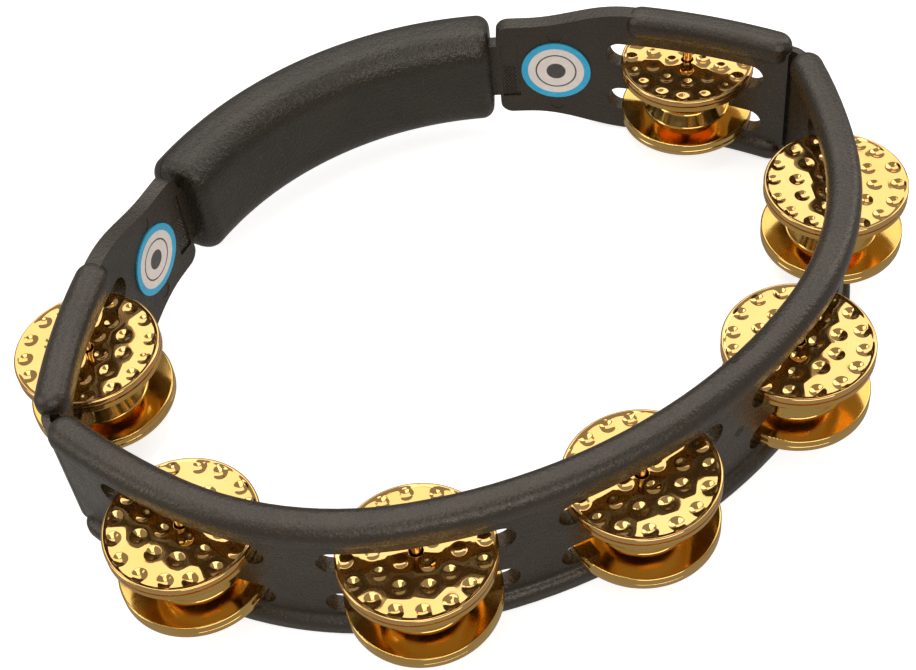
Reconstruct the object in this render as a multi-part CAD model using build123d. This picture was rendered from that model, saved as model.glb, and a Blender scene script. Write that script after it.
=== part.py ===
from build123d import *
import math
import os

# A hand-held ring tambourine that lies flat on its lower rail: a D-shaped plastic frame with seven
# stations of paired metal jingles, and a thick grip across the open side of the D.
# Millimetres, +Z up. The grip is at +Y and the middle station at -Y. X = 0 is the mirror plane.
# The origin is under the middle of the object, on the surface it rests on.

# ---- Driving dimensions ----
FRAME_HEIGHT = 47.0
WALL = 4.8
RAIL_WIDTH = 9.6
TOP_RAIL_HEIGHT = 8.5
BOTTOM_RAIL_HEIGHT = 6.5

# Frame centreline in plan, as tangent arcs (radius, turn in degrees) from the middle station outwards
FRONT_ARC = (150.0, 23.1)
SHOULDER_ARC = (95.0, 37.6)
FLANK_ARC = (190.0, 13.0)
CORNER_TURN = 44.2
ARM_ARC = (181.0, 30.2)
CORNER_SKIN_RADIUS = 7.5
CORNER_SKIN = 2.2

JINGLE_RADIUS = 20.5
JINGLE_SHEET = 0.7
JINGLE_LIP = 2.0
JINGLE_HOLE_RADIUS = 1.9
CROWN_HEIGHT = 4.5
CROWN_BASE_RADIUS = 12.8
CROWN_TOP_RADIUS = 10.6
PIN_RADIUS = 1.4
PAIR_GAP = 0.15

SLOT_LENGTH = 50.0
SLOT_HEIGHT = 8.6
UPPER_SLOT = 31.0  # height of the slot's middle above the table
LOWER_SLOT = 13.0
CROWN_WINDOW = 28.6  # width of the opening that joins the two slots

STUB_HEIGHT = 34.5  # height of an arm where it meets the grip
STUB_FLAT = 9.0  # length of that low part
FLARE_END = 42.0  # distance from the arm's end where the full height is reached
RAIL_START = 46.0  # distance from the arm's end where its rails begin

GRIP_RADIUS = 104.0
GRIP_DEPTH = 20.0
GRIP_HEIGHT = 35.0
GRIP_CORNER = 8.5
GRIP_SKIN = 3.0
GRIP_GAP = 2.2  # between the end of an arm and the end of the grip
NECK_HEIGHT = 20.0
NECK_LENGTH = 14.0

BADGE_RADIUS = 11.0
BADGE_SKIN = 0.5
BADGE_FROM_END = 18.7

# Smaller features
TOP_RAIL_CORNER = 3.6
BOTTOM_RAIL_CORNER = 2.6
RAIL_ROOT = 1.2  # fillet between rail and wall
CAP_INSET = RAIL_WIDTH / 2 + 0.2  # from a wall's end to the middle of its rails' rounded ends
SKIN_SPAN = (4.0, 43.0)  # lowest and highest point of a corner skin
LAP_LENGTH = 6.0
STUB_CORNER = 4.0
GRIP_END_ROUND = 4.0
SEAM_OFFSET = 5.0  # the grip's parting line, outwards from its middle
SEAM_GAP = 0.2
PANEL_MIDDLE, PANEL_WIDTH, PANEL_HEIGHT, PANEL_DEPTH = 3.9, 5.6, 21.0, 0.6
EJECTOR_OFFSET, EJECTOR_RADIUS, EJECTOR_DEPTH = 13.8, 2.4, 0.15
GATE_ANGLE, GATE_BALL, GATE_DEPTH = -78.1, 2.6, 0.8
PIN_FROM_CORNER = 35.0
PIN_BOTTOM, PIN_TOP = 0.6, 43.0
LIP_ROUND = 0.6
SLOT_CLEAR = 0.1  # between a jingle at rest and the floor of its slot
CROWN_TOP_ROUND, CROWN_BASE_ROUND = 1.4, 0.9
WALL_TUCK = 2.0  # how far inside the rails the wall ends
FLARE_TUCK = 0.6  # how far below the rails' outer faces the arm's flare ends
RAIL_OVERLAP = 5.0  # how far the arm's flare runs in under its rails
CORE_CLEARANCE = 0.2  # between the grip's core and its shells

# ---- Derived places ----
MID = FRAME_HEIGHT / 2
RAIL_BOTTOM = FRAME_HEIGHT - TOP_RAIL_HEIGHT
HALF_WALL = WALL / 2


def heading(angle):
    """Unit vector in plan at this many degrees from +X."""
    return Vector(math.cos(math.radians(angle)), math.sin(math.radians(angle)))


def follow(start, angle, arcs):
    """Left-hand arcs one after another: a list of (centre, radius, first and last heading)."""
    placed = []
    for radius, turn in arcs:
        centre = start + heading(angle + 90) * radius
        placed.append((centre, radius, angle, angle + turn))
        angle += turn
        start = centre + heading(angle - 90) * radius
    return placed


def on_arc(arc, distance):
    """Point and heading at this distance along one placed arc."""
    centre, radius, first, _ = arc
    angle = first + math.degrees(distance / radius)
    return centre + heading(angle - 90) * radius, angle


def path(arcs):
    """One wire along placed arcs."""
    return Wire([CenterArc(c, r, a - 90, b - a) for c, r, a, b in arcs])


def band(arcs, inner, outer, low, high):
    """Solid between two offsets of the centreline (positive outwards) and two heights."""
    far = [CenterArc(c, r + outer, a - 90, b - a) for c, r, a, b in arcs]
    near = [CenterArc(c, r + inner, a - 90, b - a) for c, r, a, b in arcs]
    ends = [Line(near[0] @ 0, far[0] @ 0), Line(near[-1] @ 1, far[-1] @ 1)]
    face = make_face(far + near + ends)
    return Pos(0, 0, low) * extrude(face, high - low, dir=(0, 0, 1))


# The front arc runs from corner to corner; the corner is where the centrelines of front and arm cross
HALF_FRONT = follow(Vector(0, 0), 0, [FRONT_ARC, SHOULDER_ARC, FLANK_ARC])
FLANK_CENTRE, FLANK_RADIUS, _, CORNER_HEADING = HALF_FRONT[2]
CORNER = FLANK_CENTRE + heading(CORNER_HEADING - 90) * FLANK_RADIUS
HALF_TURN = math.tan(math.radians(CORNER_TURN / 2))
CORNER_TRIM = (CORNER_SKIN_RADIUS - HALF_WALL) * HALF_TURN  # each wall stops this far from the corner
FLANK_TRIM = math.degrees(CORNER_TRIM / FLANK_ARC[0])
ARM_TRIM = math.degrees(CORNER_TRIM / ARM_ARC[0])

FLANK = (FLANK_ARC[0], FLANK_ARC[1] - FLANK_TRIM)
FRONT_SPAN = [FLANK, SHOULDER_ARC, (FRONT_ARC[0], 2 * FRONT_ARC[1]), SHOULDER_ARC, FLANK]
FRONT_START, FRONT_HEADING = on_arc(HALF_FRONT[2], math.radians(FLANK[1]) * FLANK[0])
FRONT = follow(Vector(-FRONT_START.X, FRONT_START.Y), -FRONT_HEADING, FRONT_SPAN)

ARM_CENTRE = CORNER + heading(CORNER_HEADING + CORNER_TURN + 90) * ARM_ARC[0]
ARM_FIRST = CORNER_HEADING + CORNER_TURN + ARM_TRIM
ARM_LAST = CORNER_HEADING + CORNER_TURN + ARM_ARC[1]
ARM = [(ARM_CENTRE, ARM_ARC[0], ARM_FIRST, ARM_LAST)]
ARM_END = ARM_CENTRE + heading(ARM_LAST - 90) * ARM_ARC[0]

GRIP_CENTRE = Vector(0, ARM_END.Y - math.sqrt(GRIP_RADIUS**2 - ARM_END.X**2))
GRIP_HALF = math.degrees(math.asin(ARM_END.X / GRIP_RADIUS) - GRIP_GAP / GRIP_RADIUS)

# The origin is in the middle of the object's length, from the front jingles to the back of the grip
FRONT_EDGE = -JINGLE_RADIUS
BACK_EDGE = GRIP_CENTRE.Y + GRIP_RADIUS + GRIP_DEPTH / 2
TO_ORIGIN = Pos(0, -(FRONT_EDGE + BACK_EDGE) / 2, 0)


def arm_plane(distance, offset=0.0):
    """Upright plane across the arm, this far from its grip end: x towards the corner, y up, z outwards."""
    angle = ARM_LAST - math.degrees(distance / ARM_ARC[0])
    outwards = heading(angle - 90)
    point = ARM_CENTRE + outwards * (ARM_ARC[0] + offset)
    return Plane(Vector(point.X, point.Y, MID), x_dir=-heading(angle), z_dir=outwards)


def station_plane(number):
    """Upright plane at a station, on the table: z points outwards. 1 is on the right arm, 7 the left."""
    side = min(number, 8 - number)
    if side == 1:
        whole_arm = (ARM_CENTRE, ARM_ARC[0], CORNER_HEADING + CORNER_TURN, ARM_LAST)
        point, angle = on_arc(whole_arm, PIN_FROM_CORNER)
    else:
        point, angle = on_arc(HALF_FRONT[4 - side], 0)
    outwards = heading(angle - 90)
    if number > 4:
        point, outwards = (Vector(-v.X, v.Y) for v in (point, outwards))
    return Plane(point, x_dir=Vector(0, 0, 1).cross(outwards), z_dir=outwards)


STATIONS = {number: station_plane(number) for number in range(1, 8)}


# ---- Frame ----
def rail_profile(height, corner):
    """One rail in section, its lower edge on the x axis."""
    face = Pos(0, height / 2) * Rectangle(RAIL_WIDTH, height)
    return fillet(face.vertices(), corner)


def frame_profile():
    """Both rails and the wall between them, filleted where they meet. Local y is height."""
    top = Pos(0, RAIL_BOTTOM) * rail_profile(TOP_RAIL_HEIGHT, TOP_RAIL_CORNER)
    wall = Pos(0, MID) * Rectangle(WALL, FRAME_HEIGHT - 2 * WALL_TUCK)
    face = top + wall + rail_profile(BOTTOM_RAIL_HEIGHT, BOTTOM_RAIL_CORNER)
    roots = [
        v
        for v in face.vertices()
        if abs(abs(v.X) - HALF_WALL) < 0.01 and BOTTOM_RAIL_HEIGHT - 1 < v.Y < RAIL_BOTTOM + 1
    ]
    return fillet(roots, RAIL_ROOT)


def railed(arcs):
    """The frame's full section swept along placed arcs."""
    centre, radius, first, _ = arcs[0]
    outwards = heading(first - 90)
    plane = Plane(centre + outwards * radius, x_dir=outwards, z_dir=-heading(first))
    return sweep(plane * frame_profile(), path=path(arcs))


def rail_caps(arc, angle, start_angle):
    """Rounded ends for both rails on an arc: half profiles turned half way round a vertical axis."""
    centre, radius, _, _ = arc
    point = centre + heading(angle - 90) * radius
    plane = Plane(point, x_dir=heading(start_angle), z_dir=heading(start_angle - 90))
    caps = []
    for height, corner, low in (
        (TOP_RAIL_HEIGHT, TOP_RAIL_CORNER, RAIL_BOTTOM),
        (BOTTOM_RAIL_HEIGHT, BOTTOM_RAIL_CORNER, 0),
    ):
        outer_half = Pos(RAIL_WIDTH / 4, height / 2) * Rectangle(RAIL_WIDTH / 2, height)
        half = plane * (Pos(0, low) * (rail_profile(height, corner) & outer_half))
        caps.append(revolve(half, Axis(point, (0, 0, 1)), revolution_arc=180))
    return caps


def station_cut(number):
    """Two slots for the jingles, joined by a window for their crowns, and the pin's bore."""
    plane = STATIONS[number]
    slot = SlotOverall(SLOT_LENGTH, SLOT_HEIGHT)
    window = Pos(0, (UPPER_SLOT + LOWER_SLOT) / 2) * Rectangle(CROWN_WINDOW, UPPER_SLOT - LOWER_SLOT)
    openings = Pos(0, UPPER_SLOT) * slot + Pos(0, LOWER_SLOT) * slot + window
    bore = Cylinder(PIN_RADIUS, PIN_TOP, align=(Align.CENTER, Align.CENTER, Align.MIN))
    return extrude(plane * openings, RAIL_WIDTH, both=True) + Pos(plane.origin) * bore


def make_front_arc():
    """The front of the frame, with stations 2 to 6. Its ends are rebated for the arms' corner skins."""
    trim = math.degrees(CAP_INSET / FLANK_RADIUS)
    inner = [list(arc) for arc in FRONT]
    inner[0][2] += trim
    inner[-1][3] -= trim
    body = railed(inner)
    first, last = FRONT[0], FRONT[-1]
    body += band([(first[0], first[1], first[2], inner[0][2])], -HALF_WALL, HALF_WALL, *SKIN_SPAN)
    body += band([(last[0], last[1], inner[-1][3], last[3])], -HALF_WALL, HALF_WALL, *SKIN_SPAN)
    caps = rail_caps(first, inner[0][2], inner[0][2] + 90)
    caps += rail_caps(last, inner[-1][3], inner[-1][3] - 90)
    for cap in caps:
        body += cap
    for number in range(2, 7):
        body -= station_cut(number)
    gate = heading(GATE_ANGLE)
    mark = FRONT[2][0] + gate * (FRONT[2][1] + HALF_WALL + GATE_BALL - GATE_DEPTH)
    return body - Pos(mark.X, mark.Y, MID) * Sphere(GATE_BALL)


def corner_skin():
    """The thin skin that carries the outer face round the corner, and its lap on the front arc."""
    start = ARM_CENTRE + heading(ARM_FIRST - 90) * ARM_ARC[0]
    centre = start + heading(ARM_FIRST + 90) * (CORNER_SKIN_RADIUS - HALF_WALL)
    low, high = SKIN_SPAN
    bend = [(centre, CORNER_SKIN_RADIUS, FRONT_HEADING, ARM_FIRST)]
    lap_start = FRONT_HEADING - math.degrees(LAP_LENGTH / FLANK_RADIUS)
    lap = [(FLANK_CENTRE, FLANK_RADIUS + HALF_WALL, lap_start, FRONT_HEADING)]
    return band(bend, -CORNER_SKIN, 0, low, high), band(lap, -CORNER_SKIN, 0, low, high)


def stub_outline():
    """Side view of the arm's wall: low at the grip, flaring to full height. x runs to the corner."""
    low, full = STUB_HEIGHT / 2, MID - FLARE_TUCK
    end = RAIL_START + RAIL_OVERLAP
    edge = [
        Line((0, 0), (0, low)),
        Line((0, low), (STUB_FLAT, low)),
        Spline((STUB_FLAT, low), (FLARE_END, full), tangents=((1, 0), (1, 0))),
        Line((FLARE_END, full), (end, full)),
        Line((end, full), (end, 0)),
        Line((end, 0), (0, 0)),
    ]
    half = make_face(edge)
    outline = half + mirror(half, Plane.XZ)
    corners = [v for v in outline.vertices() if abs(v.X) < 0.01 and abs(v.Y) > low / 2]
    return fillet(corners, STUB_CORNER)


def make_arm():
    """The right arm: stub, railed part with station 1, corner skin, neck and moulded marks."""
    rail_angle = ARM_LAST - math.degrees(RAIL_START / ARM_ARC[0])
    cap_angle = ARM_FIRST + math.degrees(CAP_INSET / ARM_ARC[0])
    stub_arc = (ARM_CENTRE, ARM_ARC[0], rail_angle, ARM_LAST)
    stub = band([stub_arc], -HALF_WALL, HALF_WALL, 0, FRAME_HEIGHT)
    body = stub & extrude(arm_plane(0) * stub_outline(), 2 * RAIL_START, both=True)
    body += railed([(ARM_CENTRE, ARM_ARC[0], cap_angle, rail_angle)])
    corner_arc = (ARM_CENTRE, ARM_ARC[0], ARM_FIRST, cap_angle)
    body += band([corner_arc], -HALF_WALL, HALF_WALL, *SKIN_SPAN)
    caps = rail_caps(ARM[0], cap_angle, cap_angle + 90)
    caps += rail_caps(ARM[0], rail_angle, rail_angle - 90)
    for cap in caps:
        body += cap
    body -= station_cut(1)
    for skin in corner_skin():
        body += skin
    neck = Box(NECK_LENGTH, NECK_HEIGHT, WALL, align=(Align.MAX, Align.CENTER, Align.CENTER))
    body += arm_plane(0) * neck
    panel = arm_plane(PANEL_MIDDLE, -HALF_WALL)
    body -= extrude(panel * Rectangle(PANEL_WIDTH, PANEL_HEIGHT), PANEL_DEPTH, both=True)
    for height in (-EJECTOR_OFFSET, EJECTOR_OFFSET):
        mark = arm_plane(BADGE_FROM_END, -HALF_WALL) * (Pos(0, height) * Circle(EJECTOR_RADIUS))
        body -= extrude(mark, EJECTOR_DEPTH, both=True)
    return body


# ---- Grip ----
def grip_solid(depth, height, corner, half_angle):
    """Rounded bar on the grip's arc, this many degrees to each side of the mirror plane."""
    start = heading(90 - half_angle)
    plane = Plane(GRIP_CENTRE + Vector(0, 0, MID), x_dir=start, z_dir=heading(-half_angle))
    section = plane * (Pos(GRIP_RADIUS, 0) * RectangleRounded(depth, height, corner))
    return revolve(section, Axis(GRIP_CENTRE, (0, 0, 1)), revolution_arc=2 * half_angle)


def make_grip(necks):
    """Core, outer shell and inner shell, all fitted round the arms' necks."""
    skin_angle = math.degrees(GRIP_SKIN / GRIP_RADIUS)
    outside = grip_solid(GRIP_DEPTH, GRIP_HEIGHT, GRIP_CORNER, GRIP_HALF)
    flats = outside.faces().filter_by(GeomType.PLANE)
    ends = [face for face in flats if abs(face.normal_at().Z) < 0.1]
    outside = fillet([edge for face in ends for edge in face.edges()], GRIP_END_ROUND)
    depth, height = GRIP_DEPTH - 2 * GRIP_SKIN, GRIP_HEIGHT - 2 * GRIP_SKIN
    corner = GRIP_CORNER - GRIP_SKIN
    shell = outside - grip_solid(depth, height, corner, GRIP_HALF - skin_angle) - necks
    spare = 2 * CORE_CLEARANCE
    core_half = GRIP_HALF - skin_angle - math.degrees(CORE_CLEARANCE / GRIP_RADIUS)
    core = grip_solid(depth - spare, height - spare, corner - CORE_CLEARANCE, core_half) - necks
    axis = Pos(GRIP_CENTRE.X, GRIP_CENTRE.Y, MID)
    seam = axis * Cylinder(GRIP_RADIUS + SEAM_OFFSET + SEAM_GAP / 2, 2 * GRIP_HEIGHT)
    inside = axis * Cylinder(GRIP_RADIUS + SEAM_OFFSET - SEAM_GAP / 2, 2 * GRIP_HEIGHT)
    return core, shell - seam, shell & inside


# ---- Jingles, their pins, and badges ----
def flat_jingle():
    """Flat disc with a turned-down lip, its top face at z = 0."""
    r, hole, t = JINGLE_RADIUS, JINGLE_HOLE_RADIUS, JINGLE_SHEET
    outline = Polyline(
        (hole, 0), (r, 0), (r, -JINGLE_LIP), (r - t, -JINGLE_LIP), (r - t, -t), (hole, -t), (hole, 0)
    )
    face = make_face(outline)
    edge = [v for v in face.vertices() if v.X > r - 0.01 and v.Y > -0.01]
    return revolve(Plane.XZ * fillet(edge, LIP_ROUND), Axis.Z)


def crowned_jingle():
    """Brim with a turned-down lip and a raised crown, the brim's top face at z = 0."""
    r, hole, t, h = JINGLE_RADIUS, JINGLE_HOLE_RADIUS, JINGLE_SHEET, CROWN_HEIGHT
    outline = Polyline(
        (hole, h),
        (CROWN_TOP_RADIUS, h),
        (CROWN_BASE_RADIUS, 0),
        (r, 0),
        (r, -JINGLE_LIP),
        (r - t, -JINGLE_LIP),
        (r - t, -t),
        (CROWN_BASE_RADIUS - t, -t),
        (CROWN_TOP_RADIUS - t, h - t),
        (hole, h - t),
        (hole, h),
    )
    face = make_face(outline)
    rounds = {
        (CROWN_TOP_RADIUS, h): CROWN_TOP_ROUND,
        (CROWN_BASE_RADIUS, 0): CROWN_BASE_ROUND,
        (r, 0): LIP_ROUND,
    }
    for (x, y), radius in rounds.items():
        spot = [v for v in face.vertices() if abs(v.X - x) < 0.01 and abs(v.Y - y) < 0.01]
        face = fillet(spot, radius)
    return revolve(Plane.XZ * face, Axis.Z)


def station_jingles():
    """A pair in each slot, flat jingles outermost and crowns facing: name to solid, on the pin's axis."""
    flip = Rot(180, 0, 0)
    stack = JINGLE_LIP + PAIR_GAP
    upper_floor = UPPER_SLOT - SLOT_HEIGHT / 2 + SLOT_CLEAR
    lower_floor = LOWER_SLOT - SLOT_HEIGHT / 2 + SLOT_CLEAR
    return {
        "upper_flat": Pos(0, 0, upper_floor + stack + JINGLE_LIP) * flat_jingle(),
        "upper_crowned": Pos(0, 0, upper_floor) * flip * crowned_jingle(),
        "lower_crowned": Pos(0, 0, lower_floor + stack + JINGLE_LIP) * crowned_jingle(),
        "lower_flat": Pos(0, 0, lower_floor) * flip * flat_jingle(),
    }


def make_badge():
    """Round sticker on the right arm's inner face, following its curve."""
    skin = band(ARM, -HALF_WALL - BADGE_SKIN, -HALF_WALL, 0, FRAME_HEIGHT)
    disc = extrude(arm_plane(BADGE_FROM_END, -HALF_WALL) * Circle(BADGE_RADIUS), WALL, both=True)
    return skin & disc


def build_nodes():
    """Every node by name, in place."""
    arm = make_arm()
    arms = {"frame_right_arm": arm, "frame_left_arm": mirror(arm, Plane.YZ)}
    nodes = dict(arms)
    front = make_front_arc()
    for one in arms.values():
        front -= one
    nodes["frame_front_arc"] = front
    necks = arms["frame_right_arm"] + arms["frame_left_arm"]
    nodes["grip_core"], nodes["grip_outer_shell"], nodes["grip_inner_shell"] = make_grip(necks)
    badge = make_badge()
    nodes["badge_right"] = badge
    nodes["badge_left"] = mirror(badge, Plane.YZ)
    pin = Cylinder(PIN_RADIUS, PIN_TOP - PIN_BOTTOM, align=(Align.CENTER, Align.CENTER, Align.MIN))
    jingles = station_jingles()
    for number, plane in STATIONS.items():
        place = Pos(plane.origin)
        nodes[f"jingle_pin_{number}"] = place * Pos(0, 0, PIN_BOTTOM) * pin
        for name, jingle in jingles.items():
            nodes[f"jingle_{number}_{name}"] = place * jingle
    return {name: TO_ORIGIN * solid for name, solid in nodes.items()}


os.makedirs("parts", exist_ok=True)
for node, shape in build_nodes().items():
    export_step(shape, f"parts/{node}.step")
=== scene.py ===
import math
import random

import bmesh
import bpy
from mathutils import Matrix, Vector
from mathutils.noise import noise


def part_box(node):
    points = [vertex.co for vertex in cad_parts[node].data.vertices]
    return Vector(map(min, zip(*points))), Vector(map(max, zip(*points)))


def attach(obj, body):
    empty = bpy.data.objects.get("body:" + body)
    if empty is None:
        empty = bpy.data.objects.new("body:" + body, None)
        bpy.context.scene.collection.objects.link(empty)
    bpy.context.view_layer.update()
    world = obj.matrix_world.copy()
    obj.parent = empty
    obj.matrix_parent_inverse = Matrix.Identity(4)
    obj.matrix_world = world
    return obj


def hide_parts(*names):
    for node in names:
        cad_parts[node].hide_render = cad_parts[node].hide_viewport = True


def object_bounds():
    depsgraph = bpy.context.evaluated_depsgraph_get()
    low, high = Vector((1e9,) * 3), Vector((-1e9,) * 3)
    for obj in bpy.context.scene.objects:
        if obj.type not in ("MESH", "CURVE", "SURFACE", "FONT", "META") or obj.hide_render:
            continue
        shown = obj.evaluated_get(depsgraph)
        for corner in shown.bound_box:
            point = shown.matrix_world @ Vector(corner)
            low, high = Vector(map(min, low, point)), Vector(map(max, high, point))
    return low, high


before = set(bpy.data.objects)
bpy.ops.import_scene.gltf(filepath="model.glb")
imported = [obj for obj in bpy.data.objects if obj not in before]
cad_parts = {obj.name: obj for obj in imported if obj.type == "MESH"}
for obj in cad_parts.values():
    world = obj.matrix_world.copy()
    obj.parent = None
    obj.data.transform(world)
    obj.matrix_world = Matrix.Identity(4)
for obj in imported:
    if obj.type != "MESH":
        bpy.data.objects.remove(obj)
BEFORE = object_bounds()
random.seed(7)

MM = 0.001
STATIONS = range(1, 8)


# ---- Shader helpers ----
class Shader:
    """A material's node tree with short calls for the nodes used here."""

    def __init__(self, name):
        self.material = bpy.data.materials.new(name)
        self.material.use_nodes = True
        self.tree = self.material.node_tree
        self.tree.nodes.clear()
        self.output = self.tree.nodes.new("ShaderNodeOutputMaterial")
        self.bsdf = self.node("ShaderNodeBsdfPrincipled")
        self.tree.links.new(self.bsdf.outputs[0], self.output.inputs["Surface"])
        self.place = self.node("ShaderNodeTexCoord").outputs["Object"]

    def node(self, kind, **inputs):
        made = self.tree.nodes.new(kind)
        for name, value in inputs.items():
            self.set(made.inputs[name.replace("_", " ")], value)
        return made

    def set(self, socket, value):
        if isinstance(value, bpy.types.NodeSocket):
            self.tree.links.new(value, socket)
        else:
            socket.default_value = value

    def noise(self, scale, detail=3.0, roughness=0.5, vector=None):
        made = self.node("ShaderNodeTexNoise", Scale=scale, Detail=detail, Roughness=roughness)
        self.set(made.inputs["Vector"], vector or self.place)
        return made.outputs["Fac"]

    def cells(self, scale):
        made = self.node("ShaderNodeTexVoronoi", Scale=scale)
        self.set(made.inputs["Vector"], self.place)
        return made.outputs["Distance"]

    def spread(self, value, low, high, to_low=0.0, to_high=1.0):
        made = self.node("ShaderNodeMapRange")
        names = ("Value", "From Min", "From Max", "To Min", "To Max")
        for name, given in zip(names, (value, low, high, to_low, to_high)):
            self.set(made.inputs[name], given)
        return made.outputs["Result"]

    def mix(self, factor, first, second):
        made = self.tree.nodes.new("ShaderNodeMix")
        made.data_type = "RGBA"
        self.set(made.inputs["Factor"], factor)
        colours = [socket for socket in made.inputs if socket.type == "RGBA"]
        for socket, colour in zip(colours, (first, second)):
            self.set(socket, colour)
        return [socket for socket in made.outputs if socket.type == "RGBA"][0]

    def math(self, operation, first, second=0.0):
        made = self.node("ShaderNodeMath")
        made.operation = operation
        self.set(made.inputs[0], first)
        self.set(made.inputs[1], second)
        return made.outputs[0]

    def bump(self, height, depth, strength=1.0, under=None):
        made = self.node("ShaderNodeBump", Height=height, Distance=depth, Strength=strength)
        if under is not None:
            self.set(made.inputs["Normal"], under)
        return made.outputs["Normal"]

    def finish(self, colour, roughness, normal=None, **others):
        self.set(self.bsdf.inputs["Base Color"], colour)
        self.set(self.bsdf.inputs["Roughness"], roughness)
        if normal is not None:
            self.set(self.bsdf.inputs["Normal"], normal)
        for name, value in others.items():
            self.set(self.bsdf.inputs[name.replace("_", " ")], value)
        return self.material


def rgb(red, green, blue):
    return (red, green, blue, 1.0)


# ---- Materials ----
DUST_COVER = 0.45  # how much a dusty spot covers the plastic
NICK_DEPTH = 0.12 * MM
SWELL_DEPTH = 0.3 * MM
PLASTIC_SHINE = 0.9
PLASTIC_TINT = rgb(1.0, 0.94, 0.86)
SCRATCH_DEPTH = 0.004 * MM
SPECK_COVER = 0.5


def moulded_plastic(name, dark, light, gloss, grain_scale, grain_depth, leather):
    """Warm near-black plastic: fine grain, faint blotches, rubbed and dusty patches, tiny nicks."""
    s = Shader(name)
    blotch = s.spread(s.noise(42.0, 4.0, 0.6), 0.35, 0.7)
    dust = s.spread(s.noise(900.0, 3.0, 0.7), 0.60, 0.80)
    patch = s.spread(s.noise(30.0, 3.0, 0.6), 0.42, 0.66)
    colour = s.mix(blotch, dark, light)
    dusty = s.math("MULTIPLY", s.math("MULTIPLY", dust, patch), DUST_COVER)
    colour = s.mix(dusty, colour, rgb(0.20, 0.17, 0.135))
    rubbed = s.spread(s.noise(85.0, 4.0, 0.65), 0.38, 0.68, gloss + 0.08, gloss - 0.07)
    fine = s.spread(s.noise(1300.0, 3.0, 0.7), 0.3, 0.7, -0.08, 0.10)
    grain = s.bump(s.noise(grain_scale, 3.0, 0.7), grain_depth)
    hide = s.bump(s.cells(leather), grain_depth * 0.6, 0.6, grain)
    nicks = s.bump(s.spread(s.noise(420.0, 2.0, 0.5), 0.74, 0.8, 1.0, 0.0), NICK_DEPTH, 0.6, hide)
    swell = s.bump(s.noise(55.0, 2.0, 0.4), SWELL_DEPTH, 0.5, nicks)
    rough = s.math("ADD", rubbed, fine)
    return s.finish(colour, rough, swell, Specular_IOR_Level=PLASTIC_SHINE, Specular_Tint=PLASTIC_TINT)


def gold(name, face, deep, roughness, wave_depth):
    """Mirror-polished brass: slight waves in the sheet, handling haze, hair scratches and specks."""
    s = Shader(name)
    tone = s.spread(s.noise(55.0, 3.0, 0.5), 0.3, 0.7)
    haze = s.spread(s.noise(210.0, 4.0, 0.6), 0.5, 0.78, roughness, roughness + 0.08)
    speck = s.spread(s.noise(1500.0, 2.0, 0.5), 0.70, 0.76)
    stretched = s.node("ShaderNodeMapping", Scale=(900.0, 60.0, 300.0), Rotation=(0.0, 0.0, 0.5))
    s.set(stretched.inputs["Vector"], s.place)
    hairs = s.noise(1.0, 2.0, 0.5, stretched.outputs["Vector"])
    scratch = s.bump(s.spread(hairs, 0.62, 0.7), SCRATCH_DEPTH, 0.35)
    wave = s.bump(s.noise(140.0, 1.0, 0.3), wave_depth, 1.0, scratch)
    spotted = s.math("MULTIPLY", speck, SPECK_COVER)
    colour = s.mix(spotted, s.mix(tone, face, deep), rgb(0.30, 0.16, 0.05))
    return s.finish(colour, haze, wave, Metallic=1.0)


FRAME_PLASTIC = moulded_plastic(
    "frame_plastic",
    dark=rgb(0.0200, 0.0130, 0.0062),
    light=rgb(0.031, 0.0210, 0.0110),
    gloss=0.24,
    grain_scale=1250.0,
    grain_depth=0.19 * MM,
    leather=950.0,
)
GRIP_PLASTIC = moulded_plastic(
    "grip_plastic",
    dark=rgb(0.0130, 0.0090, 0.0050),
    light=rgb(0.023, 0.0165, 0.0098),
    gloss=0.25,
    grain_scale=1000.0,
    grain_depth=0.30 * MM,
    leather=760.0,
)
CORE_PLASTIC = moulded_plastic(
    "core_plastic",
    dark=rgb(0.012, 0.011, 0.010),
    light=rgb(0.018, 0.017, 0.016),
    gloss=0.5,
    grain_scale=2000.0,
    grain_depth=0.10 * MM,
    leather=900.0,
)
FLAT_GOLD = gold(
    "flat_jingle_metal",
    face=rgb(0.96, 0.61, 0.235),
    deep=rgb(0.92, 0.55, 0.18),
    roughness=0.06,
    wave_depth=0.18 * MM,
)
CROWN_GOLD = gold(
    "crowned_jingle_metal",
    face=rgb(0.91, 0.59, 0.18),
    deep=rgb(0.86, 0.52, 0.13),
    roughness=0.12,
    wave_depth=0.14 * MM,
)
PIN_GOLD = gold(
    "pin_metal",
    face=rgb(0.80, 0.56, 0.24),
    deep=rgb(0.66, 0.42, 0.16),
    roughness=0.16,
    wave_depth=0.01 * MM,
)

BADGE_RING = 8.85 * MM  # radius where the blue ring starts
BADGE_LINE = (6.0 * MM, 6.5 * MM)
BADGE_DOT = 3.0 * MM
PRINT_EDGE = 0.1 * MM  # over which one ink gives way to the next


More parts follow.
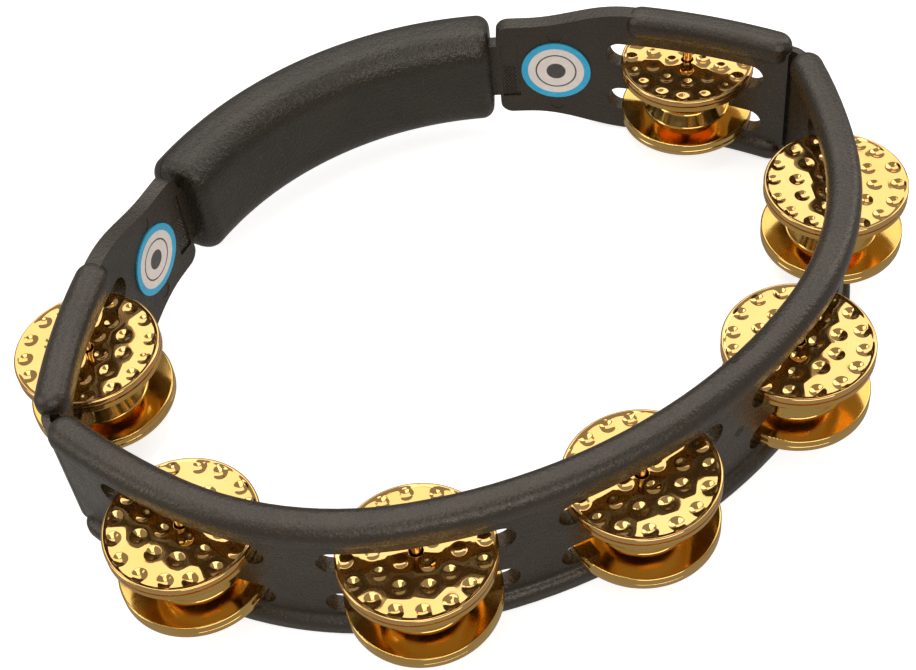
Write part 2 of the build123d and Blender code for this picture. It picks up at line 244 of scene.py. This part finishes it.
def badge_print(centre, sideways):
    """Pale disc with a blue ring, a thin inner line and a dot, printed under clear film."""
    s = Shader("badge_print")
    shifted = s.node("ShaderNodeVectorMath")
    shifted.operation = "SUBTRACT"
    s.set(shifted.inputs[0], s.place)
    s.set(shifted.inputs[1], centre)

    def along(direction):
        made = s.node("ShaderNodeVectorMath")
        made.operation = "DOT_PRODUCT"
        s.set(made.inputs[0], shifted.outputs["Vector"])
        s.set(made.inputs[1], direction)
        return made.outputs["Value"]

    x, z = along(sideways), along(Vector((0.0, 0.0, 1.0)))
    x2, z2 = s.math("MULTIPLY", x, x), s.math("MULTIPLY", z, z)
    away = s.math("SQRT", s.math("ADD", x2, z2))
    ring = s.spread(away, BADGE_RING, BADGE_RING + 1.5 * PRINT_EDGE)
    line_starts = s.spread(away, BADGE_LINE[0], BADGE_LINE[0] + PRINT_EDGE)
    line_ends = s.spread(away, BADGE_LINE[1], BADGE_LINE[1] + PRINT_EDGE, 1.0, 0.0)
    inner_line = s.math("MULTIPLY", line_starts, line_ends)
    dot = s.spread(away, BADGE_DOT, BADGE_DOT + PRINT_EDGE, 1.0, 0.0)
    paper = s.mix(s.noise(300.0, 3.0), rgb(0.74, 0.64, 0.58), rgb(0.84, 0.76, 0.70))
    marks = s.math("MAXIMUM", inner_line, dot)
    colour = s.mix(marks, paper, rgb(0.07, 0.06, 0.055))
    blue = s.mix(s.noise(240.0, 2.0), rgb(0.012, 0.34, 0.60), rgb(0.03, 0.46, 0.72))
    colour = s.mix(ring, colour, blue)
    scuff = s.spread(s.noise(500.0, 4.0), 0.5, 0.8, 0.22, 0.42)
    normal = s.bump(s.noise(350.0, 2.0), 0.00003)
    return s.finish(colour, scuff, normal, Coat_Weight=0.5, Coat_Roughness=0.12)


def paint(node, material):
    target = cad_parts[node]
    target.data.materials.clear()
    target.data.materials.append(material)


for node in ("frame_front_arc", "frame_right_arm", "frame_left_arm"):
    paint(node, FRAME_PLASTIC)
for node in ("grip_outer_shell", "grip_inner_shell"):
    paint(node, GRIP_PLASTIC)
paint("grip_core", CORE_PLASTIC)
for number in STATIONS:
    paint(f"jingle_pin_{number}", PIN_GOLD)
    for layer in ("upper_crowned", "lower_crowned"):
        paint(f"jingle_{number}_{layer}", CROWN_GOLD)
    for layer in ("upper_flat", "lower_flat"):
        paint(f"jingle_{number}_{layer}", FLAT_GOLD)


def middle(node):
    low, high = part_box(node)
    return (low + high) / 2


for side, node in (("right", "badge_right"), ("left", "badge_left")):
    low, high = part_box(node)
    slant = -1.0 if side == "right" else 1.0
    run = Vector((high.x - low.x, slant * (high.y - low.y), 0.0))
    paint(node, badge_print(middle(node), run.normalized()))


# ---- Dimpled jingles ----
DIMPLE_RINGS = ((0.85, 16, 0.0), (0.53, 10, 0.16), (0.24, 4, 0.5))
DIMPLE_RADIUS = 0.112
DIMPLE_DEPTH = 0.82 * MM
SKIRT_SHARE = 0.30  # of a dimple's depth, spread over the sheet round it
SKIRT_REACH = 2.1  # in dimple radii
WAVE_DEPTH = 0.44 * MM
WAVE_LENGTH = 8.0 * MM
SHEET = 0.7 * MM
DISC_HOLE = 1.9 * MM  # radius of the hole for the pin
DISC_BEND = 0.6 * MM  # radius of the rolled edge
EDGE_FADE = 0.8 * MM  # the sheet is flat where it meets the rolled edge
PLACE_JITTER = 0.03  # radians round the disc
OUT_JITTER = 0.012  # shares of the disc's radius
SHALLOWEST = 0.8  # share of the full depth
CORE_POWER = 1.6
RINGS_ACROSS = 105
STEPS_ROUND = 340


def dimple_places(radius):
    """Middles of the pressed dimples on one disc, a little uneven as hand-fed tooling leaves them."""
    spin = random.uniform(0, math.tau)
    places = []
    for share, count, offset in DIMPLE_RINGS:
        for step in range(count):
            angle = spin + offset + math.tau * step / count
            angle += random.uniform(-PLACE_JITTER, PLACE_JITTER)
            out = radius * (share + random.uniform(-OUT_JITTER, OUT_JITTER))
            depth = random.uniform(SHALLOWEST, 1.0)
            places.append((out * math.cos(angle), out * math.sin(angle), depth))
    return places


def dished(x, y, places, reach):
    """How far the sheet is pressed in at this spot, from 0 to 1."""
    deepest = 0.0
    for px, py, depth in places:
        share = ((x - px) ** 2 + (y - py) ** 2) / (reach * reach)
        wide = share / (SKIRT_REACH * SKIRT_REACH)
        if wide < 1.0:
            core = (1.0 - share) ** CORE_POWER if share < 1.0 else 0.0
            here = SKIRT_SHARE * (1.0 - wide) ** 2 + (1.0 - SKIRT_SHARE) * core
            deepest = max(deepest, depth * here)
    return deepest


def dimpled_disc(node, face_up):
    """A flat jingle with pressed dimples, a rolled edge and a turned lip, inside its CAD node's box."""
    low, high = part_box(node)
    centre = (low + high) / 2
    radius = (high.x - low.x) / 2
    lip = high.z - low.z
    reach = radius * DIMPLE_RADIUS
    places = dimple_places(radius)
    seed = random.uniform(0.0, 40.0)
    rows = []
    for step in range(RINGS_ACROSS + 1):
        out = DISC_HOLE + (radius - DISC_BEND - DISC_HOLE) * step / RINGS_ACROSS
        rows.append((out, 0.0, True))
    for step in range(1, 7):
        turn = math.radians(15 * step)
        out = radius - DISC_BEND + DISC_BEND * math.sin(turn)
        rows.append((out, -DISC_BEND * (1 - math.cos(turn)), False))
    rows.append((radius, -lip * 0.6, False))
    rows.append((radius - 0.06 * MM, -lip, False))
    rows.append((radius - SHEET, -lip, False))
    rows.append((radius - SHEET, -SHEET - DISC_BEND * 0.5, False))
    sheet_rows = rows[: RINGS_ACROSS + 1]
    under = [(out, -SHEET, flat) for out, _, flat in sheet_rows if out < radius - SHEET - DISC_BEND]
    rows += list(reversed(under))
    mesh = bmesh.new()
    grid = []
    flip = 1.0 if face_up else -1.0
    top = high.z if face_up else low.z
    for out, drop, flat in rows:
        ring = []
        for step in range(STEPS_ROUND):
            angle = math.tau * step / STEPS_ROUND
            x, y = out * math.cos(angle), out * math.sin(angle)
            press = 0.0
            if flat:
                here = Vector((x / WAVE_LENGTH + seed, y / WAVE_LENGTH, seed))
                press = WAVE_DEPTH * (0.5 + 0.5 * noise(here))
                press += dished(x, y, places, reach) * DIMPLE_DEPTH
                press *= min(1.0, (radius - DISC_BEND - out) / EDGE_FADE)
            z = top + flip * (drop - press)
            ring.append(mesh.verts.new((centre.x + x, centre.y + flip * y, z)))
        grid.append(ring)
    count = len(grid)
    for row in range(count):
        inner, outer = grid[row], grid[(row + 1) % count]
        for step in range(STEPS_ROUND):
            after = (step + 1) % STEPS_ROUND
            mesh.faces.new((inner[step], outer[step], outer[after], inner[after]))
    data = bpy.data.meshes.new(node + "_dimpled")
    mesh.to_mesh(data)
    mesh.free()
    data.shade_smooth()
    made = bpy.data.objects.new(node + "_dimpled", data)
    bpy.context.scene.collection.objects.link(made)
    data.materials.append(FLAT_GOLD)
    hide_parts(node)
    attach(made, node)
    return made


for number in STATIONS:
    dimpled_disc(f"jingle_{number}_upper_flat", True)
    dimpled_disc(f"jingle_{number}_lower_flat", False)


# ---- Moulded dots in the recess at the end of each arm ----
ARM_RADIUS = 181.0 * MM
BADGE_TO_PANEL = 14.8 * MM
DOT_ACROSS, DOT_HIGH = 4, 14
DOT_PITCH, DOT_SIZE, DOT_RISE, DOT_SUNK = 0.95 * MM, 0.36 * MM, 0.42 * MM, 0.02 * MM
ROW_STEP = 0.86  # from one row to the next, in pitches
LOWEST_DOT = -9.6 * MM + 0.2 * DOT_PITCH  # from the middle of the badge
RAY_BACK, RAY_LENGTH = 6 * MM, 12 * MM


def moulded_dots(side):
    """Small four-sided points in staggered rows, standing on the floor of the recess."""
    sign = 1.0 if side == "right" else -1.0
    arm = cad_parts[f"frame_{side}_arm"]
    low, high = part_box(f"badge_{side}")
    start = (low + high) / 2
    chord = Vector((-sign * (high.x - low.x), high.y - low.y, 0.0)).normalized()
    turn = BADGE_TO_PANEL / ARM_RADIUS
    chord.rotate(Matrix.Rotation(sign * turn / 2, 3, "Z"))
    along = chord.copy()
    along.rotate(Matrix.Rotation(sign * turn / 2, 3, "Z"))
    outwards = Vector((sign * along.y, -sign * along.x, 0.0))
    centre = start + chord * BADGE_TO_PANEL
    mesh = bmesh.new()
    for row in range(DOT_HIGH):
        for column in range(DOT_ACROSS):
            shift = (column - (DOT_ACROSS - 1) / 2 + (0.25 if row % 2 else -0.25)) * DOT_PITCH
            origin = centre + along * shift - outwards * RAY_BACK
            origin.z = start.z + LOWEST_DOT + row * ROW_STEP * DOT_PITCH
            hit, place, normal, _ = arm.ray_cast(origin, outwards, distance=RAY_LENGTH)
            if not hit:
                continue
            across = Vector((0.0, 0.0, 1.0)).cross(normal).normalized()
            corners = (across, Vector((0.0, 0.0, 1.0)), -across, Vector((0.0, 0.0, -1.0)))
            base = [mesh.verts.new(place - normal * DOT_SUNK + c * DOT_SIZE) for c in corners]
            tip = mesh.verts.new(place + normal * DOT_RISE)
            for step in range(4):
                mesh.faces.new((base[step], base[(step + 1) % 4], tip))
            mesh.faces.new(list(reversed(base)))
    bmesh.ops.recalc_face_normals(mesh, faces=mesh.faces)
    data = bpy.data.meshes.new(f"moulded_dots_{side}")
    mesh.to_mesh(data)
    mesh.free()
    made = bpy.data.objects.new(f"moulded_dots_{side}", data)
    bpy.context.scene.collection.objects.link(made)
    data.materials.append(FRAME_PLASTIC)
    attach(made, "frame")
    return made


for side in ("right", "left"):
    moulded_dots(side)


# ---- Floor, light and camera ----
FLOOR_HALF = 6.0
FLOOR_DROP = 0.2 * MM
FLOOR_GLOW = 0.74
ROOM_LIGHT = 0.30


def paper_floor():
    """Plain seamless paper, a very slight tooth in it."""
    s = Shader("studio_paper")
    colour = s.mix(s.noise(9.0, 3.0), rgb(0.88, 0.88, 0.88), rgb(0.91, 0.91, 0.91))
    normal = s.bump(s.noise(900.0, 2.0), 0.00002)
    rough = s.spread(s.noise(40.0), 0.3, 0.7, 0.8, 0.9)
    white = rgb(1.0, 1.0, 1.0)
    return s.finish(colour, rough, normal, Emission_Color=white, Emission_Strength=FLOOR_GLOW)


mesh = bmesh.new()
bmesh.ops.create_grid(mesh, x_segments=2, y_segments=2, size=FLOOR_HALF)
data = bpy.data.meshes.new("studio_floor")
mesh.to_mesh(data)
mesh.free()
floor = bpy.data.objects.new("studio_floor", data)
floor.location = (0.0, 0.0, BEFORE[0][2] - FLOOR_DROP)
bpy.context.scene.collection.objects.link(floor)
data.materials.append(paper_floor())
floor.visible_glossy = False  # the polished parts then mirror only the lights and the dim room


def softbox(name, place, width, height, radiance, colour):
    """A soft light of this brightness as seen in a mirror, aimed at the object."""
    lamp = bpy.data.lights.new(name, "AREA")
    lamp.shape = "RECTANGLE"
    lamp.size, lamp.size_y = width, height
    lamp.energy = radiance * math.pi * width * height
    lamp.color = colour
    made = bpy.data.objects.new(name, lamp)
    made.location = place
    made.rotation_euler = (-Vector(place)).to_track_quat("-Z", "Y").to_euler()
    bpy.context.scene.collection.objects.link(made)
    return made


WARM = (1.0, 0.975, 0.94)
softbox("back_softbox", (0.33, 0.865, 1.275), 1.65, 1.08, 1.22, WARM)
softbox("overhead_softbox", (-0.30, 0.05, 1.55), 0.7, 0.6, 1.9, WARM)
softbox("right_softbox", (1.35, 0.10, 0.90), 0.6, 1.1, 1.9, WARM)
softbox("left_softbox", (-1.30, 0.45, 0.80), 0.55, 1.1, 1.7, WARM)
softbox("front_softbox", (-0.25, -1.25, 1.05), 1.3, 0.6, 2.2, WARM)

world = bpy.data.worlds.new("studio_world")
bpy.context.scene.world = world
world.use_nodes = True
room = world.node_tree.nodes["Background"]
room.inputs["Color"].default_value = rgb(1.0, 0.98, 0.95)
room.inputs["Strength"].default_value = ROOM_LIGHT

AZIMUTH, ELEVATION, ROLL = math.radians(24.87), math.radians(49.2), math.radians(-7.8)
DISTANCE, ACROSS, ABOVE = 0.43269, -0.04705, 0.04137
AIM_HEIGHT = 0.0205
LENS_MM, SENSOR_MM = 66.4, 36.0
MIDDLE_PIN = middle("jingle_pin_4")
AIM = Vector((MIDDLE_PIN.x, MIDDLE_PIN.y, AIM_HEIGHT))
look = Vector(
    (
        math.sin(AZIMUTH) * math.cos(ELEVATION),
        math.cos(AZIMUTH) * math.cos(ELEVATION),
        -math.sin(ELEVATION),
    )
)
level = Vector((math.cos(AZIMUTH), -math.sin(AZIMUTH), 0.0))
upright = level.cross(look)
right = math.cos(ROLL) * level + math.sin(ROLL) * upright
up = -math.sin(ROLL) * level + math.cos(ROLL) * upright
spot = AIM - DISTANCE * look + ACROSS * right + ABOVE * up
lens = bpy.data.cameras.new("photo_camera")
lens.sensor_fit = "HORIZONTAL"
lens.sensor_width = SENSOR_MM
lens.lens = LENS_MM
lens.clip_start = 0.01
lens.clip_end = 20.0
camera = bpy.data.objects.new("photo_camera", lens)
turned = Matrix((right, up, -look)).transposed().to_4x4()
camera.matrix_world = Matrix.Translation(spot) @ turned
bpy.context.scene.collection.objects.link(camera)
bpy.context.scene.camera = camera
bpy.context.scene.view_settings.view_transform = "Standard"
